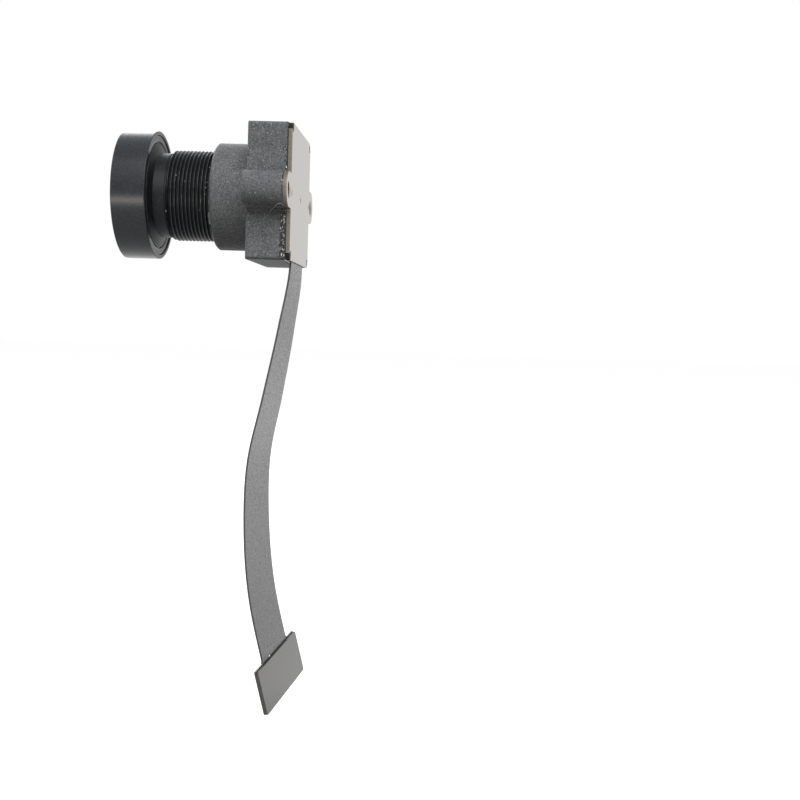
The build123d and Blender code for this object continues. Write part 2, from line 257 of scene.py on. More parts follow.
def noiseOn(nodes, links, place, scale, detail=3.0, roughness=0.55):
    grain = nodes.new("ShaderNodeTexNoise")
    grain.inputs["Scale"].default_value = scale
    grain.inputs["Detail"].default_value = detail
    grain.inputs["Roughness"].default_value = roughness
    links.new(place, grain.inputs["Vector"])
    return grain.outputs["Fac"]


def flecksOn(nodes, links, place, scale, size, share):
    # round specks: near a cell's middle, and only in a share of the cells
    cells = nodes.new("ShaderNodeTexVoronoi")
    cells.inputs["Scale"].default_value = scale
    links.new(place, cells.inputs["Vector"])
    near = rampOn(nodes, links, cells.outputs["Distance"], (size * 0.6, 1.0), (size, 0.0))
    pick = nodes.new("ShaderNodeSeparateColor")
    links.new(cells.outputs["Color"], pick.inputs[0])
    chosen = combine(nodes, links, "LESS_THAN", pick.outputs[0], share)
    return combine(nodes, links, "MULTIPLY", near, chosen)


def combine(nodes, links, operation, first, second):
    step = nodes.new("ShaderNodeMath")
    step.operation = operation
    for socket, value in zip(step.inputs, (first, second)):
        if isinstance(value, (int, float)):
            socket.default_value = value
        else:
            links.new(value, socket)
    return step.outputs[0]


def rampOn(nodes, links, factor, *stops):
    ramp = nodes.new("ShaderNodeValToRGB")
    while len(ramp.color_ramp.elements) < len(stops):
        ramp.color_ramp.elements.new(0.5)
    for element, (position, shade) in zip(ramp.color_ramp.elements, stops):
        element.position = position
        element.color = (*shade, 1.0) if isinstance(shade, tuple) else (shade, shade, shade, 1.0)
    links.new(factor, ramp.inputs["Fac"])
    return ramp.outputs["Color"]


def blendOn(nodes, links, factor, under, over):
    blend = nodes.new("ShaderNodeMix")
    blend.data_type = "RGBA"
    if isinstance(factor, (int, float)):
        blend.inputs["Factor"].default_value = factor
    else:
        links.new(factor, blend.inputs["Factor"])
    for socket, value in ((blend.inputs[6], under), (blend.inputs[7], over)):
        if isinstance(value, tuple):
            socket.default_value = (*value, 1.0)
        else:
            links.new(value, socket)
    return blend.outputs[2]


def bumpFrom(nodes, links, height, strength, depth, base=None):
    # depth in millimetres
    bump = nodes.new("ShaderNodeBump")
    bump.inputs["Strength"].default_value = strength
    bump.inputs["Distance"].default_value = depth * mm
    links.new(height, bump.inputs["Height"])
    if base is not None:
        links.new(base, bump.inputs["Normal"])
    return bump.outputs["Normal"]


# Grain values are noise scales for places in metres, and relief depths are in millimetres
holderPlastic = {
    "dark": (0.048, 0.050, 0.053), "light": (0.165, 0.168, 0.175), "darkEnd": 0.34, "lightEnd": 0.66,
    "grain": 4600, "patch": 480, "patchShare": 0.16, "relief": 0.05, "reliefStrength": 0.35,
    "fleck": (0.24, 0.25, 0.26), "fleckScale": 3600, "fleckSize": 0.34, "fleckShare": 0.1,
    "roughness": 0.62, "gloss": 0.12,
}


def makeHolderPlastic():
    material, nodes, links, shader = newMaterial(
        "holderPlastic", Roughness=holderPlastic["roughness"], Specular_IOR_Level=holderPlastic["gloss"]
    )
    place = objectPlace(nodes, links)
    grain = noiseOn(nodes, links, place, holderPlastic["grain"], 3.0, 0.65)
    patch = noiseOn(nodes, links, place, holderPlastic["patch"], 3.0)
    mottle = blendOn(nodes, links, holderPlastic["patchShare"], grain, patch)
    colour = rampOn(
        nodes, links, mottle,
        (holderPlastic["darkEnd"], holderPlastic["dark"]),
        (holderPlastic["lightEnd"], holderPlastic["light"]),
    )
    flecks = flecksOn(
        nodes, links, place,
        holderPlastic["fleckScale"], holderPlastic["fleckSize"], holderPlastic["fleckShare"],
    )
    links.new(blendOn(nodes, links, flecks, colour, holderPlastic["fleck"]), shader.inputs["Base Color"])
    rough = bumpFrom(nodes, links, grain, holderPlastic["reliefStrength"], holderPlastic["relief"])
    links.new(rough, shader.inputs["Normal"])
    return material


anodising = {
    "shade": (0.013, 0.015, 0.018), "light": (0.028, 0.032, 0.037), "roughness": 0.27, "gloss": 0.2,
    "grain": 4200, "relief": 0.016, "reliefStrength": 0.4,
    "turned": 3600, "turnedRelief": 0.004, "turnedStrength": 0.1,
}


def makeAnodising():
    material, nodes, links, shader = newMaterial(
        "blackAnodising", Roughness=anodising["roughness"], Specular_IOR_Level=anodising["gloss"]
    )
    place = objectPlace(nodes, links)
    grain = noiseOn(nodes, links, place, anodising["grain"], 3.0, 0.6)
    links.new(
        rampOn(nodes, links, grain, (0.35, anodising["shade"]), (0.7, anodising["light"])),
        shader.inputs["Base Color"],
    )
    turned = noiseOn(nodes, links, objectPlace(nodes, links, (0, 1, 0)), anodising["turned"], 2.0)
    lathe = bumpFrom(nodes, links, turned, anodising["turnedStrength"], anodising["turnedRelief"])
    blasted = bumpFrom(nodes, links, grain, anodising["reliefStrength"], anodising["relief"], lathe)
    links.new(blasted, shader.inputs["Normal"])
    return material


# Thread colours: the flank colour, darker than the head's anodising, is painted shade of the thread's
# grooves, and the crest colour is a painted highlight
threadShadeAndHighlight = {
    # darker flank colour, used on the thread and the neck behind the head: painted shade of the grooves
    "shadedFlank": {
        "shade": (0.003, 0.004, 0.005), "light": (0.014, 0.015, 0.017), "roughness": 0.45, "gloss": 0.15,
    },
    # lighter crest colour: a painted highlight along the thread's crests
    "crest": {
        "shade": (0.006, 0.007, 0.008), "light": (0.070, 0.072, 0.075), "roughness": 0.31, "gloss": 0.5,
    },
    "grain": 3000, "relief": 0.03, "reliefStrength": 0.5, "shadeEnd": 0.46, "lightEnd": 0.72,
}


def makeThreadShadeAndHighlight(name):
    finish = threadShadeAndHighlight[name]
    material, nodes, links, shader = newMaterial(
        name + "PaintedLight", Roughness=finish["roughness"], Specular_IOR_Level=finish["gloss"]
    )
    grain = noiseOn(nodes, links, objectPlace(nodes, links), threadShadeAndHighlight["grain"], 4.0, 0.7)
    colour = rampOn(
        nodes, links, grain,
        (threadShadeAndHighlight["shadeEnd"], finish["shade"]), (threadShadeAndHighlight["lightEnd"], finish["light"]),
    )
    links.new(colour, shader.inputs["Base Color"])
    cut = bumpFrom(nodes, links, grain, threadShadeAndHighlight["reliefStrength"], threadShadeAndHighlight["relief"])
    links.new(cut, shader.inputs["Normal"])
    return material


plateSteel = {
    "shade": (0.36, 0.335, 0.30), "light": (0.43, 0.405, 0.37), "roughness": 0.26,
    "grain": 2600, "rolledShare": 0.35, "rolledStretch": 0.08, "relief": 0.006, "reliefStrength": 0.2,
}


def makePlateSteel():
    material, nodes, links, shader = newMaterial(
        "plateSteel", Metallic=1.0, Roughness=plateSteel["roughness"]
    )
    fine = noiseOn(nodes, links, objectPlace(nodes, links), plateSteel["grain"], 4.0, 0.7)
    along = objectPlace(nodes, links, (1, 1, plateSteel["rolledStretch"]))
    rolled = noiseOn(nodes, links, along, plateSteel["grain"], 2.0)
    mixed = blendOn(nodes, links, plateSteel["rolledShare"], fine, rolled)
    links.new(
        rampOn(nodes, links, mixed, (0.3, plateSteel["shade"]), (0.7, plateSteel["light"])),
        shader.inputs["Base Color"],
    )
    grained = bumpFrom(nodes, links, mixed, plateSteel["reliefStrength"], plateSteel["relief"])
    links.new(grained, shader.inputs["Normal"])
    return material


film = {
    "shade": (0.016, 0.016, 0.020), "light": (0.032, 0.032, 0.037), "trace": (0.054, 0.054, 0.058),
    "glossy": 0.20, "dull": 0.38, "grain": 3400, "relief": 0.012, "reliefStrength": 0.35,
    "tracePitch": 0.62, "traceShare": 0.45, "traceRelief": 0.006, "traceStrength": 0.12,
    "hatchPitch": 0.55, "hatchShare": 0.18,
}


def stripesOn(nodes, links, place, pitch):
    # narrow bands across the first axis
    waves = nodes.new("ShaderNodeTexWave")
    waves.inputs["Scale"].default_value = math.pi / 10 / (pitch * mm)
    links.new(place, waves.inputs["Vector"])
    return rampOn(nodes, links, waves.outputs["Fac"], (0.6, 0.0), (0.9, 1.0))


def makeFilm():
    material, nodes, links, shader = newMaterial("circuitFilm")
    grain = noiseOn(nodes, links, objectPlace(nodes, links), film["grain"], 3.0, 0.6)
    sheen = rampOn(nodes, links, grain, (0.38, film["glossy"]), (0.62, film["dull"]))
    links.new(sheen, shader.inputs["Roughness"])
    colour = rampOn(nodes, links, grain, (0.3, film["shade"]), (0.8, film["light"]))
    flat = nodes.new("ShaderNodeTexCoord")  # across the tail, and from its head to its tongue
    sized = nodes.new("ShaderNodeMapping")
    sized.inputs["Scale"].default_value = (tail["width"] * mm, tail["length"] * mm, 1)
    links.new(flat.outputs["UV"], sized.inputs["Vector"])
    turned = nodes.new("ShaderNodeMapping")
    turned.inputs["Rotation"].default_value = (0, 0, math.radians(45))
    links.new(sized.outputs["Vector"], turned.inputs["Vector"])
    traces = stripesOn(nodes, links, sized.outputs["Vector"], film["tracePitch"])
    hatch = stripesOn(nodes, links, turned.outputs["Vector"], film["hatchPitch"])
    down = nodes.new("ShaderNodeSeparateXYZ")
    links.new(flat.outputs["UV"], down.inputs[0])
    fade = rampOn(nodes, links, down.outputs[1], (0.001, 0.0), (0.01, 1.0), (film["hatchShare"], 0.0))
    marks = combine(nodes, links, "MAXIMUM", traces, combine(nodes, links, "MULTIPLY", hatch, fade))
    drawn = combine(nodes, links, "MULTIPLY", marks, film["traceShare"])
    links.new(blendOn(nodes, links, drawn, colour, film["trace"]), shader.inputs["Base Color"])
    ridged = bumpFrom(nodes, links, marks, film["traceStrength"], film["traceRelief"])
    grained = bumpFrom(nodes, links, grain, film["reliefStrength"], film["relief"], ridged)
    links.new(grained, shader.inputs["Normal"])
    return material


def makePlain(name, shade, roughness, grain=1500, metallic=0.0, relief=0.01, gloss=0.5, dark=0.75):
    # one colour, with a speckle that goes down to a share of it
    material, nodes, links, shader = newMaterial(
        name, Roughness=roughness, Metallic=metallic, Specular_IOR_Level=gloss
    )
    speckle = noiseOn(nodes, links, objectPlace(nodes, links), grain, 3.0, 0.6)
    darker = tuple(dark * part for part in shade)
    links.new(rampOn(nodes, links, speckle, (0.3, darker), (0.7, shade)), shader.inputs["Base Color"])
    links.new(bumpFrom(nodes, links, speckle, 0.3, relief), shader.inputs["Normal"])
    return material


blackGlue = {
    "base": (0.004, 0.004, 0.005), "roughness": 0.16, "waves": 1500, "relief": 0.05, "reliefStrength": 0.5,
    "glint": (0.6, 0.6, 0.59), "glints": 5200, "glintSize": 0.4, "glintShare": 0.2, "glintStretch": 0.4,
}


def makeBlackGlue():
    material, nodes, links, shader = newMaterial("blackGlue", Roughness=blackGlue["roughness"])
    waves = noiseOn(nodes, links, objectPlace(nodes, links, (1, 1, 0.5)), blackGlue["waves"], 2.0)
    # the glints are painted highlights: pale specks in the glue's colour, stretched up and down
    along = objectPlace(nodes, links, (1, 1, blackGlue["glintStretch"]))
    glints = flecksOn(
        nodes, links, along, blackGlue["glints"], blackGlue["glintSize"], blackGlue["glintShare"]
    )
    colour = blendOn(nodes, links, glints, blackGlue["base"], blackGlue["glint"])
    links.new(colour, shader.inputs["Base Color"])
    waved = bumpFrom(nodes, links, waves, blackGlue["reliefStrength"], blackGlue["relief"])
    links.new(waved, shader.inputs["Normal"])
    return material


def makeGlass(name, colour, ior, coating, coatingIor=1.38, polish=0.01):
    # the coating's thickness in nanometres gives its tint
    return newMaterial(
        name, Roughness=polish, IOR=ior, Transmission_Weight=1.0, Base_Color=colour,
        Thin_Film_Thickness=coating, Thin_Film_IOR=coatingIor,
    )[0]


# Flexible circuit: route of the tail's middle, each point as drop below the head, sideways and forward,
# and its turn, lean and pitch in degrees. The film's lines follow the tail's width and length, so these
# values come before the materials.
tail = {
    "width": 10.7, "length": 61.0, "thickness": 0.25, "middle": 0.375, "headFoot": 8.75, "overlap": 0.05,
    "route": (
        (8.75, 0.25, 1.075), (17.65, 0.40, 2.625), (26.45, 0.40, 4.275),
        (35.25, 0.30, 4.375), (44.05, 0.05, 3.525), (52.05, -0.25, 1.755),
    ),
    "turn": 9.2, "endLean": 2.6, "endPitch": 14.1, "spanRows": 12, "columns": 10,
}

# Every finish. A plain one gives its colour, roughness, grain and share of metal, and a glass gives its
# colour, refractive index and the thickness of its coating.
materials = {
    "holder": makeHolderPlastic(),
    "anodised": makeAnodising(),
    # painted shade: the thread and neck darker than the head
    "thread": makeThreadShadeAndHighlight("shadedFlank"),
    # painted highlight: the thread's crests lighter than its flanks
    "crest": makeThreadShadeAndHighlight("crest"),
    "steel": makePlateSteel(),
    "steelEdge": makePlain("steelEdge", (0.15, 0.13, 0.092), 0.5, 3000, 0.4),
    "film": makeFilm(),
    "filmEdge": makePlain("filmEdge", (0.13, 0.12, 0.095), 0.5, 3000),
    "ribbonEdge": makePlain("ribbonEdge", (0.03, 0.03, 0.03), 0.6, 3000),
    "stiffener": makePlain("stiffenerSheet", (0.060, 0.055, 0.048), 0.27, 3000, relief=0.008),
    "gold": makePlain("contactGold", (0.83, 0.6, 0.24), 0.3, 1200, 1.0),
    "blackGlue": makeBlackGlue(),
    # near-black on the holder's posts: painted shade between the holder and the plate
    "postShade": makePlain("postPaintedShade", (0.010, 0.011, 0.012), 0.5, 3000, relief=0.02, gloss=0.1),
    "greyGlue": makePlain("greyGlue", (0.2, 0.205, 0.21), 0.45, 1600, relief=0.03),
    "fibre": makePlain("paleFibre", (0.5, 0.5, 0.49), 0.5, 3000),
    "dust": makePlain("paleDust", (0.6, 0.6, 0.58), 0.6, 4000),
    "solder": makePlain("solder", (0.85, 0.85, 0.83), 0.3, 2000, 0.6),
    "sensor": makePlain("sensorPackage", (0.09, 0.085, 0.08), 0.45),
    "chip": makePlain("chipPlastic", (0.02, 0.02, 0.021), 0.5),
    "capacitor": makePlain("capacitorCeramic", (0.42, 0.33, 0.24), 0.45),
    "resistor": makePlain("resistorCeramic", (0.04, 0.04, 0.045), 0.4),
    "frontGlass": makeGlass("frontGlass", (0.96, 0.98, 0.97, 1.0), 1.6, 330.0),
    "innerGlass": makeGlass("innerGlass", (0.90, 0.92, 0.94, 1.0), 1.5, 420.0),
    "filterGlass": makeGlass("filterGlass", (0.6, 0.82, 0.85, 1.0), 1.52, 500.0),
}
print("materials ready")


# Lens barrel: core turned about the lens axis, with a screwed ridge for the thread
barrel = {
    "threadRadius": 6.0, "pitch": 0.5, "threadDepth": 0.3, "crest": 0.05, "threadExposed": 5.8,
    "neckRadius": 5.6, "reliefRadius": 5.45, "reliefLength": 0.4, "neckLength": 1.5, "coneLength": 0.45,
    "grooveInner": 6.95, "grooveOuter": 7.12, "grooveDepth": 0.22, "headRadius": 7.95,
    "seatRadius": 7.03, "seat": 19.9, "boreRadius": 4.7, "openingRadius": 3.6, "lip": 2.0, "edge": 0.05,
    "ridgeShare": 0.94, "ridgeSink": 0.03, "ridgeEnd": 0.1, "ridgeSteps": 96,
    "runOut": 0.45, "runOutSink": 0.02,
}


def makeBarrel():
    rootRadius = barrel["threadRadius"] - barrel["threadDepth"]
    threadEnd = ahead["mouth"] + barrel["threadExposed"]
    reliefEnd = threadEnd + barrel["reliefLength"]
    neckEnd = reliefEnd + barrel["neckLength"]
    headRear = neckEnd + barrel["coneLength"]
    profile = [
        (barrel["openingRadius"], ahead["barrelRear"]),
        (rootRadius, ahead["barrelRear"]),
        (rootRadius, threadEnd),
        (barrel["reliefRadius"], threadEnd),
        (barrel["reliefRadius"], reliefEnd),
        (barrel["neckRadius"], reliefEnd),
        (barrel["neckRadius"], neckEnd),
        (barrel["grooveInner"], headRear),
        (barrel["grooveInner"], headRear + barrel["grooveDepth"]),
        (barrel["grooveOuter"], headRear + barrel["grooveDepth"]),
        (barrel["grooveOuter"], headRear),
        (barrel["headRadius"], headRear),
        (barrel["headRadius"], ahead["barrelFront"]),
        (barrel["seatRadius"], ahead["barrelFront"]),
        (barrel["seatRadius"], barrel["seat"]),
        (barrel["boreRadius"], barrel["seat"]),
        (barrel["boreRadius"], ahead["barrelRear"] + barrel["lip"]),
        (barrel["openingRadius"], ahead["barrelRear"] + barrel["lip"]),
        (barrel["openingRadius"], ahead["barrelRear"]),
    ]
    piece = turnedPiece("lensBarrel", profile)
    bevelEdges(piece, barrel["edge"], segments=2)
    joinInto(piece, makeThread(rootRadius, threadEnd))
    smoothShade(piece)
    finishPiece(
        piece, [materials["anodised"], materials["thread"], materials["crest"]],
        "black_anodising", "lens_barrel",
    )
    darkEnd = spot(0, headRear - slack, 0).y
    low, high = (barrel["threadRadius"] - slack) * mm, (barrel["threadRadius"] + slack) * mm
    # the thread and neck behind the head take the darker colour: painted shade of the grooves
    paintFaces(piece, 1, lambda face: face.center.y > darkEnd)
    # the thread's crests take a lighter colour: a painted highlight
    paintFaces(
        piece, 2,
        lambda face: face.center.y > darkEnd and low < math.hypot(face.center.x, face.center.z) < high,
    )


def makeThread(rootRadius, threadEnd):
    # one turn's section, closed, swept forward by the Screw modifier
    pitch = barrel["pitch"]
    turns = int((threadEnd - ahead["barrelRear"]) / pitch) - 1
    width = pitch * barrel["ridgeShare"]
    foot = rootRadius - barrel["ridgeSink"]
    first = threadEnd - (turns + barrel["ridgeEnd"]) * pitch
    corners = [
        (foot, first),
        (barrel["threadRadius"], first + (width - barrel["crest"]) / 2),
        (barrel["threadRadius"], first + (width + barrel["crest"]) / 2),
        (foot, first + width),
        (foot, first),
    ]
    piece = drawLine("threadRidge", [spot(-radius, at, 0) for radius, at in corners], closed=True)
    bpy.ops.object.mode_set(mode="OBJECT")
    screw = piece.modifiers.new("screw", "SCREW")
    screw.axis = "Y"
    screw.angle = 2 * math.pi
    screw.screw_offset = -pitch * mm
    screw.iterations = turns
    screw.steps = screw.render_steps = barrel["ridgeSteps"]
    screw.use_merge_vertices = True
    screw.merge_threshold = weld
    applyModifiers(piece)
    bpy.ops.object.mode_set(mode="EDIT")
    bpy.ops.mesh.select_all(action="DESELECT")
    bpy.ops.mesh.select_non_manifold()
    bpy.ops.mesh.edge_face_add()
    bpy.ops.mesh.select_all(action="SELECT")
    bpy.ops.mesh.normals_make_consistent(inside=False)
    bpy.ops.object.mode_set(mode="OBJECT")
    last = first + width / 2 + pitch * turns  # the crest's station where the ridge ends
    for vertex in piece.data.vertices:  # the last of it sinks into the core, as a cut thread runs out
        radius = math.hypot(vertex.co.x, vertex.co.z) / mm
        left = (last - (plateRear - vertex.co.y) / mm) / pitch
        if radius > rootRadius and left < barrel["runOut"]:
            flat = (
                rootRadius - barrel["runOutSink"]
                + (radius - rootRadius) * max(left, 0) / barrel["runOut"]
            )
            vertex.co.x *= flat / radius
            vertex.co.z *= flat / radius
    return piece


makeBarrel()
print("lens barrel done")

# Front ring, with its flared mouth
frontRing = {
    "bore": 7.98, "radius": 8.5, "lipRadius": 6.55, "lip": 21.5, "lipEnd": 22.2, "flare": 7.6, "edge": 0.12,
}


def makeFrontRing():
    profile = [
        (frontRing["bore"], ahead["ringRear"]),
        (frontRing["radius"], ahead["ringRear"]),
        (frontRing["radius"], ahead["ringFront"]),
        (frontRing["flare"], ahead["ringFront"]),
        (frontRing["lipRadius"], frontRing["lipEnd"]),
        (frontRing["lipRadius"], frontRing["lip"]),
        (frontRing["bore"], frontRing["lip"]),
        (frontRing["bore"], ahead["ringRear"]),
    ]
    piece = turnedPiece("frontRing", profile)
    bevelEdges(piece, frontRing["edge"])
    smoothShade(piece)
    finishPiece(piece, materials["anodised"], "black_anodising", "front_ring")


makeFrontRing()

# Glass, from the front to the rear: edge radius, flat rims, and each curved face's radius and rise
glass = {
    "frontGlass": ("front_element", 7.0, 21.5, 19.9, (6.45, 1.4), (4.6, 1.6), "frontGlass"),
    "secondGlass": ("second_element", 4.67, 18.55, 16.15, (3.77, 0.25), (3.52, 1.3), "innerGlass"),
    "thirdGlass": ("third_element", 4.67, 16.15, 13.55, (3.52, 0.45), (3.52, -0.3), "innerGlass"),
    "crownGlass": ("crown_element", 4.67, 12.65, 11.35, (4.67, 0), (4.17, -0.7), "innerGlass"),
    "flintGlass": ("flint_element", 4.67, 11.35, 9.15, (4.17, -0.72), (3.52, 0.3), "innerGlass"),
    "rearGlass": ("rear_element", 4.67, 9.15, 6.85, (4.67, 0), (3.5, -0.3), "innerGlass"),
}


def makeGlassPieces():
    for name, (node, edge, frontRim, rearRim, front, rear, finish) in glass.items():
        frontFace = curvedFace(front[0], frontRim, front[1])
        rearFace = curvedFace(rear[0], rearRim, rear[1])
        profile = frontFace + [(edge, frontRim), (edge, rearRim)] + rearFace[::-1]
        piece = turnedPiece(name, profile, steps=128)
        smoothShade(piece, angle=20, weighted=False)
        finishPiece(piece, materials[finish], "optical_glass", node)


makeGlassPieces()
print("front ring and glass done")

# Holder, plate, stiffener, the rings inside and the small parts: copies of the solids, with their edges
# rounded by the width given in millimetres
rounding = {
    "lensHolder": ("lens_holder", 0.09, "holder", "holder_plastic"),
    "backPlate": ("back_plate", 0.04, "steel", "plate_steel"),
    "tongueStiffener": ("tongue_stiffener", 0.03, "stiffener", "stiffener_sheet"),
    "apertureStop": ("aperture_stop", 0.03, "anodised", "black_anodising"),
    "stackRetainer": ("stack_retainer", 0.05, "anodised", "black_anodising"),
    "imageSensor": ("image_sensor", 0.05, "sensor", "sensor_package"),
    "memoryChip": ("memory_chip", 0.05, "chip", "chip_plastic"),
    "voltageRegulators": ("voltage_regulators", 0.05, "chip", "chip_plastic"),
    "decouplingCapacitors": ("decoupling_capacitors", 0.05, "capacitor", "capacitor_ceramic"),
    "chipResistors": ("resistors", 0.04, "resistor", "resistor_ceramic"),
}
# Edges with a finish of their own: the faces that look less than this share to the front or the rear
sheetEdges = {"back_plate": ("steelEdge", 0.5), "tongue_stiffener": ("ribbonEdge", 0.8)}


def makeRoundedPieces():
    for name, (node, width, finish, slot) in rounding.items():
        piece = mergedCopy(node, name)
        bevelEdges(piece, width, angle=40)
        smoothShade(piece)
        if node in sheetEdges:
            edge, share = sheetEdges[node]
            finishPiece(piece, [materials[finish], materials[edge]], slot, node)
            paintFaces(piece, 1, lambda face: abs(face.normal.y) < share)
        elif node == "lens_holder":  # its posts, behind the base, are painted near-black: painted shade between the holder and the plate
            finishPiece(piece, [materials[finish], materials["postShade"]], slot, node)
            paintFaces(piece, 1, lambda face: face.center.y > spot(0, ahead["base"] - slack, 0).y)
        else:
            finishPiece(piece, materials[finish], slot, node)


makeRoundedPieces()
print("holder, plate and stiffener done")


def tailLine():
    # places down the middle of the tail, each with its direction and its share of the length
    places = [spot(0, tail["middle"], tail["overlap"] - tail["headFoot"])]
    for drop, sideways, forward in tail["route"]:
        places.append(spot(sideways, tail["middle"] + forward, -tail["headFoot"] - drop))
    spans = [(end - start).length for start, end in zip(places, places[1:])]
    lean, pitch = math.tan(math.radians(tail["endLean"])), math.tan(math.radians(tail["endPitch"]))
    slopes = [Vector((0, 0, -1))]
    for index in range(1, len(places) - 1):
        before, after = spans[index - 1], spans[index]
        arriving = (places[index] - places[index - 1]) / before
        leaving = (places[index + 1] - places[index]) / after
        slopes.append((arriving * after + leaving * before) / (before + after))
    slopes.append(Vector((-lean, pitch, -1)).normalized())
    rows, gone = [], 0
    for index, span in enumerate(spans):
        start, end = places[index], places[index + 1]
        run = interpolate_bezier(
            start, start + slopes[index] * span / 3, end - slopes[index + 1] * span / 3, end,
            tail["spanRows"] + 1,
        )
        for step, place in enumerate(run[:-1]):
            rows.append((place, (gone + span * step / tail["spanRows"]) / sum(spans)))
        gone += span
    rows.append((places[-1], 1.0))
    line = []
    for index, (place, share) in enumerate(rows):
        if index == 0 or index == len(rows) - 1:
            direction = slopes[0 if index == 0 else -1]
        else:
            direction = (rows[index + 1][0] - rows[index - 1][0]).normalized()
        line.append((place, direction, share))
    return line


def makeTail(line):
    startFresh()
    rows = len(line) - 1
    bpy.ops.mesh.primitive_grid_add(x_subdivisions=tail["columns"], y_subdivisions=rows, size=1)
    piece = bpy.context.object
    piece.name = piece.data.name = "flexTail"
    for vertex in piece.data.vertices:
        place, direction, share = line[round((vertex.co.y + 0.5) * rows)]
        turn = math.radians(tail["turn"]) * (1 - (1 - share) ** 2)
        sideways = Vector((math.cos(turn), -math.sin(turn), 0))
        sideways = (sideways - direction * sideways.dot(direction)).normalized()
        vertex.co = place + sideways * vertex.co.x * tail["width"] * mm
    wall = piece.modifiers.new("wall", "SOLIDIFY")
    wall.thickness = tail["thickness"] * mm
    wall.offset = 0
    applyModifiers(piece)
    bpy.ops.object.mode_set(mode="EDIT")
    bpy.ops.mesh.select_all(action="SELECT")
    bpy.ops.mesh.normals_make_consistent(inside=False)
    bpy.ops.object.mode_set(mode="OBJECT")
    return piece


def makeFlex():
    line = tailLine()
    piece = mergedCopy("flex_circuit", "flexCircuit")
    keepSide(piece, line[0][0], (0, 0, -1))
    tongue = keepSide(mergedCopy("flex_circuit", "flexTongue"), line[-1][0], -line[-1][1])
    joinInto(piece, makeTail(line), tongue)
    smoothShade(piece, angle=30, weighted=False)
    finishPiece(
        piece, [materials["film"], materials["filmEdge"], materials["ribbonEdge"]],
        "circuit_film", "flex_circuit",
    )
    foot, low = line[0][0].z, line[-1][0].z
    # the head's pale cut edges, and the thin sides of the tail
    paintFaces(piece, 1, lambda face: abs(face.normal.y) < 0.3 and face.center.z > foot)
    paintFaces(piece, 2, lambda face: abs(face.normal.x) > 0.7 and low < face.center.z < foot)


makeFlex()
print("flexible circuit done")

# Black glue squeezed out of the seam, in a thin bead with two smears down the near side. Each smear
# starts at its top and goes down in equal steps.
seam = {
    "halfWidth": 9.12, "halfHeight": 8.67, "corner": 0.45, "ear": 11.0, "earRadius": 2.17, "root": 0.35,
    "bead": {"station": 0.62, "radius": 0.09, "sides": 3, "press": 1.0, "lump": 0.5, "relief": 0.1},
    "lowerSmear": {
        "station": 0.96, "radius": 0.40, "sides": 5, "press": 0.42, "lump": 0.45, "relief": 0.26,
        "top": -2.9, "step": 0.35, "count": 17,
    },
    "upperSmear": {
        "station": 0.78, "radius": 0.20, "sides": 4, "press": 0.42, "lump": 0.45, "relief": 0.26,
        "top": 6.0, "step": 0.33, "count": 11,
    },
}


def arcPoints(across, up, radius, start, end, steps):
    # points round an arc, from one angle to the other in degrees
    turns = [math.radians(start + (end - start) * step / steps) for step in range(steps + 1)]
    return [(across + radius * math.cos(turn), up + radius * math.sin(turn)) for turn in turns]


def quarterOutline(sideSteps=8):
    # one quarter of the head's outline, from its top middle to the ear's tip
    width, height, corner = seam["halfWidth"], seam["halfHeight"], seam["corner"]
    ear, root = seam["earRadius"], seam["root"]
    side = height - corner - ear - root
    return [
        (0, height),
        (width / 2, height),
        *arcPoints(width - corner, height - corner, corner, 90, 0, 4),
        *[(width, height - corner - side * step / sideSteps) for step in range(1, sideSteps)],
        *arcPoints(width + root, ear + root, root, 180, 270, 3),
        *arcPoints(seam["ear"], 0, ear, 90, 0, 8),
    ]


def headOutline():
    quarter = quarterOutline()
    right = quarter + [(across, -up) for across, up in quarter[-2::-1]]
    return right + [(-across, up) for across, up in right[-2:0:-1]]


def makeStrip(name, outline, closed=False):
    # a lumpy tube of glue, pressed towards the near side
    glue = seam[name]
    points = [spot(across, glue["station"], up) for across, up in outline]
    strip = drawTube(name, points, glue["radius"], closed, glue["sides"])
    onlySelect(strip)
    bpy.ops.object.mode_set(mode="EDIT")
    bpy.ops.mesh.select_all(action="SELECT")
    bpy.ops.transform.resize(value=(glue["press"], 1, 1), center_override=(seam["halfWidth"] * mm, 0, 0))
    bpy.ops.mesh.subdivide(number_cuts=2)
    bpy.ops.object.mode_set(mode="OBJECT")
    roughen(strip, glue["lump"], glue["relief"])
    return strip


def makeSeamGlue():
    piece = mergedCopy("seam_glue", "seamGlue")
    strips = [makeStrip("bead", headOutline(), closed=True)]
    for name in ("lowerSmear", "upperSmear"):
        glue = seam[name]
        heights = [glue["top"] - glue["step"] * index for index in range(glue["count"])]
        strips.append(makeStrip(name, [(seam["halfWidth"], height) for height in heights]))
    joinInto(piece, *strips)
    smoothShade(piece, angle=40, weighted=False)
    finishPiece(piece, materials["blackGlue"], "black_adhesive", "seam_glue")


makeSeamGlue()
print("seam glue done")

# Grey dabs that lock the barrel: the solids' own places, melted into lumps
dabs = {"voxel": 0.06, "smoothing": 4, "lump": 0.45, "relief": 0.3}


def makeDabs():
    piece = mergedCopy("locking_dabs", "lockingDabs")
    remesh = piece.modifiers.new("voxels", "REMESH")
    remesh.mode = "VOXEL"
    remesh.voxel_size = dabs["voxel"] * mm
    smooth = piece.modifiers.new("smooth", "SMOOTH")
    smooth.iterations = dabs["smoothing"]
    applyModifiers(piece)
    roughen(piece, dabs["lump"], dabs["relief"])
    smoothShade(piece, angle=60, weighted=False)
    finishPiece(piece, materials["greyGlue"], "grey_adhesive", "locking_dabs")


makeDabs()

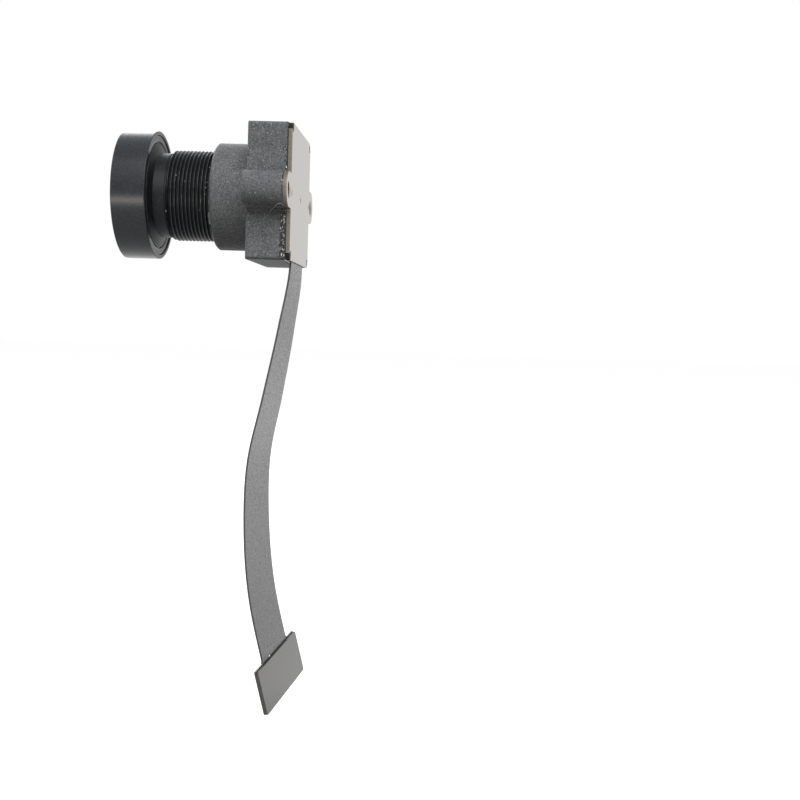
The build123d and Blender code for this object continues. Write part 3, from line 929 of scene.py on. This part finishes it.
# Small marks of use: a stray fibre on the holder, dust in the thread and a speck of solder on the tail.
# Each place is across, ahead of the plate and up, and a speck's radius follows it.
fibre = {
    "radius": 0.03,
    "line": (
        (9.25, 2.63, -2.75), (10.4, 2.06, -2.38), (11.3, 1.7, -2.3),
        (12.05, 1.33, -2.02), (12.3, 0.82, -1.89), (11.95, 0.58, -2.1),
    ),
}
specks = {
    "stretch": (0.7, 0.7, 1.6),
    "relief": 0.8,
    "dust": (
        (5.63, 15.62, 2.07, 0.05), (5.41, 16.89, -2.59, 0.06), (5.52, 12.52, -2.36, 0.04),
        (6.0, 11.6, 0.5, 0.06), (5.97, 11.72, -0.35, 0.05), (5.02, 11.35, 3.29, 0.05),
        (5.9, 11.45, 1.2, 0.045), (5.85, 14.4, 1.3, 0.035),
    ),
    "solder": (3.103, 2.1, -61.40, 0.09),
}


def addSpeck(name, place, size):
    startFresh()
    bpy.ops.mesh.primitive_ico_sphere_add(subdivisions=2, radius=size * mm, location=(0, 0, 0))
    piece = bpy.context.object
    piece.name = piece.data.name = name
    bpy.ops.object.mode_set(mode="EDIT")
    bpy.ops.mesh.select_all(action="SELECT")
    bpy.ops.transform.resize(value=specks["stretch"])
    bpy.ops.transform.translate(value=place)
    bpy.ops.object.mode_set(mode="OBJECT")
    roughen(piece, size, size * specks["relief"])
    return piece


def makeMarks():
    strand = drawTube("strayFibre", [spot(*place) for place in fibre["line"]], fibre["radius"], sides=2)
    smoothShade(strand, angle=60, weighted=False)
    finishPiece(strand, materials["fibre"], "grey_adhesive")
    grains = []
    for index, (*place, size) in enumerate(specks["dust"]):
        grains.append(addSpeck(f"dust{index}", spot(*place), size))
    joined = joinInto(*grains)
    joined.name = joined.data.name = "threadDust"
    finishPiece(joined, materials["dust"], "grey_adhesive")
    *place, size = specks["solder"]
    finishPiece(addSpeck("solderSpeck", spot(*place), size), materials["solder"], "plate_steel")


makeMarks()
print("dabs and small marks done")

# The pieces that keep their own solids only take a material
finishes = {
    "contact_fingers": "gold",
    "sensor_cover_glass": "innerGlass",
    "ir_cut_filter": "filterGlass",
}
for node, finish in finishes.items():
    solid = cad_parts[node]
    solid.data.materials.clear()
    solid.data.materials.append(materials[finish])
print("inner pieces finished")

# Floor, world, lamps and camera, with places and sizes in metres
studio = {
    "floorDrop": 0.00002, "floorSize": 8.0, "floorShade": 0.05, "floorGlow": 0.9, "floorSeen": 0.5,
    "world": 0.18,
}


def lightRays(nodes, links):
    # 1 for what the camera sees directly, in a reflection or through glass
    rays = nodes.new("ShaderNodeLightPath")
    seen = combine(nodes, links, "MAXIMUM", rays.outputs["Is Camera Ray"], rays.outputs["Is Glossy Ray"])
    return combine(nodes, links, "MAXIMUM", seen, rays.outputs["Is Transmission Ray"])


def makeFloor():
    startFresh()
    bpy.ops.mesh.primitive_plane_add(
        size=studio["floorSize"], location=(0, 0, cadBounds[0].z - studio["floorDrop"])
    )
    floor = bpy.context.object
    floor.name = "floor"
    material, nodes, links, shader = newMaterial("paleFloor", Roughness=0.9, Specular_IOR_Level=0.0)
    shader.inputs["Base Color"].default_value = (studio["floorShade"],) * 3 + (1.0,)
    pale = nodes.new("ShaderNodeBsdfDiffuse")
    pale.inputs["Color"].default_value = (studio["floorSeen"],) * 3 + (1.0,)
    glow = nodes.new("ShaderNodeEmission")
    glow.inputs["Strength"].default_value = studio["floorGlow"]
    both = nodes.new("ShaderNodeAddShader")
    links.new(pale.outputs[0], both.inputs[0])
    links.new(glow.outputs[0], both.inputs[1])
    mix = nodes.new("ShaderNodeMixShader")
    links.new(lightRays(nodes, links), mix.inputs[0])
    links.new(shader.outputs[0], mix.inputs[1])
    links.new(both.outputs[0], mix.inputs[2])
    links.new(mix.outputs[0], nodes["Material Output"].inputs["Surface"])
    floor.data.materials.append(material)


def makeWorld():
    world = bpy.data.worlds.new("studio")
    bpy.context.scene.world = world
    world.use_nodes = True
    nodes, links = world.node_tree.nodes, world.node_tree.links
    lit = nodes["Background"]
    lit.inputs["Color"].default_value = (1, 1, 1, 1)
    lit.inputs["Strength"].default_value = studio["world"]  # what lights the object
    seen = nodes.new("ShaderNodeBackground")
    seen.inputs["Color"].default_value = (1, 1, 1, 1)
    seen.inputs["Strength"].default_value = 1.0  # what shows as white
    mix = nodes.new("ShaderNodeMixShader")
    links.new(lightRays(nodes, links), mix.inputs[0])
    links.new(lit.outputs[0], mix.inputs[1])
    links.new(seen.outputs[0], mix.inputs[2])
    links.new(mix.outputs[0], nodes["World Output"].inputs["Surface"])


lamps = {
    "key": {"place": (0.40, 0.10, 0.33), "size": 0.45, "glow": 5.7, "tint": (1.0, 1.0, 1.0)},
    "fill": {"place": (-0.38, -0.20, 0.26), "size": 0.30, "glow": 4.5, "tint": (1.0, 1.0, 1.0)},
    "front": {"place": (-0.05, -0.45, 0.15), "size": 0.40, "glow": 3.5, "tint": (1.0, 1.0, 1.0)},
    "window": {"place": (0.20, -0.075, -0.058), "size": 0.03, "glow": 31.0, "tint": (1.0, 0.95, 0.84)},
}


def makeLamps():
    for name, lamp in lamps.items():
        light = bpy.data.lights.new(name, "AREA")
        light.size = lamp["size"]
        light.energy = lamp["glow"] * math.pi * lamp["size"] ** 2  # so that a larger lamp is as bright
        light.color = lamp["tint"]
        holder = bpy.data.objects.new(name, light)
        holder.location = lamp["place"]
        holder.rotation_euler = (-Vector(lamp["place"])).to_track_quat("-Z", "Y").to_euler()
        bpy.context.scene.collection.objects.link(holder)


shot = {
    "place": (0.16203, 0.0215727, -0.0182162), "turn": (87.068, -1.8184, 92.692), "lens": 54.183,
    "nearest": 0.005,
}


def makeCamera():
    camera = bpy.data.objects.new("camera", bpy.data.cameras.new("camera"))
    camera.data.lens = shot["lens"]
    camera.data.clip_start = shot["nearest"]
    camera.location = shot["place"]
    camera.rotation_euler = [math.radians(angle) for angle in shot["turn"]]
    bpy.context.scene.collection.objects.link(camera)
    bpy.context.scene.camera = camera


makeFloor()
makeWorld()
makeLamps()
makeCamera()
bpy.context.scene.view_settings.view_transform = "Standard"
print("studio done")
